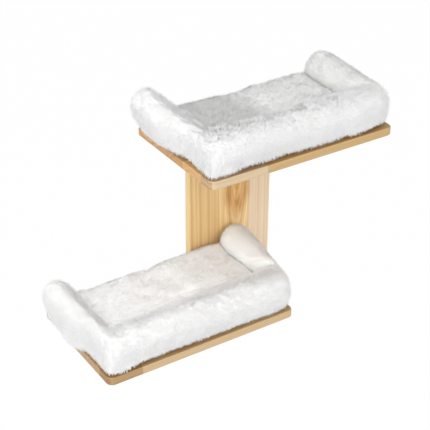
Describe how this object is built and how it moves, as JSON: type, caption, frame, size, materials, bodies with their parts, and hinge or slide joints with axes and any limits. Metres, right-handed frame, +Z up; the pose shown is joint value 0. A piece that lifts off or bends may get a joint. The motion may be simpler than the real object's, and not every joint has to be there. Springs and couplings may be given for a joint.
{
  "type": "cat wall shelf",
  "caption": "Cat wall shelf: offset wooden platforms on one upright back panel, each with a removable white plush bed with raised sides.",
  "frame": {"origin": "middle of the back panel's four wall screw holes, on the panel's rear face", "axes": "+X along the wall to the right, +Y into the wall, +Z up"},
  "size_m": [0.8098, 0.33, 0.611],
  "materials": {
    "panel_wood": "clear satin lacquer over edge-glued light hardwood",
    "platform_wood": "clear satin lacquer over finger-jointed light hardwood",
    "dowel_wood": "bare beech",
    "plated_steel": "bright zinc plate",
    "bracket_steel": "matt grey powder coat",
    "hook_tape": "woven nylon hooks",
    "loop_tape": "brushed nylon loops",
    "base_cloth": "plain woven polyester",
    "short_plush": "short pile plush",
    "long_plush": "long pile plush",
    "smooth_plush": "short smooth pile plush"
  },
  "bodies": {
    "shelf": {"back_panel": "panel_wood", "upper_platform": "platform_wood", "lower_platform": "platform_wood", "upper_connector_bolts": "plated_steel", "lower_connector_bolts": "plated_steel", "upper_barrel_nuts": "plated_steel", "lower_barrel_nuts": "plated_steel", "upper_dowels": "dowel_wood", "lower_dowels": "dowel_wood", "upper_left_bracket": "bracket_steel", "upper_right_bracket": "bracket_steel", "lower_bracket": "bracket_steel", "wall_bracket": "bracket_steel", "upper_bracket_screws": "plated_steel", "lower_bracket_screws": "plated_steel", "wall_bracket_screws": "plated_steel", "upper_hook_tape": "hook_tape", "lower_hook_tape": "hook_tape"},
    "upper_bed": {"upper_loop_tape": "loop_tape", "upper_base_cloth": "base_cloth", "upper_seat_pad": "short_plush", "upper_left_roll": "long_plush", "upper_front_bolster": "long_plush", "upper_right_roll": "smooth_plush"},
    "lower_bed": {"lower_loop_tape": "loop_tape", "lower_base_cloth": "base_cloth", "lower_seat_pad": "short_plush", "lower_left_roll": "long_plush", "lower_front_bolster": "long_plush", "lower_right_roll": "smooth_plush"}
  },
  "joints": [
    {"name": "upper_bed_lift", "type": "slide", "parent": "shelf", "child": "upper_bed", "axis": [0, 0, 1], "range_m": [0, 0.12]},
    {"name": "lower_bed_lift", "type": "slide", "parent": "shelf", "child": "lower_bed", "axis": [0, 0, 1], "range_m": [0, 0.12]}
  ]
}
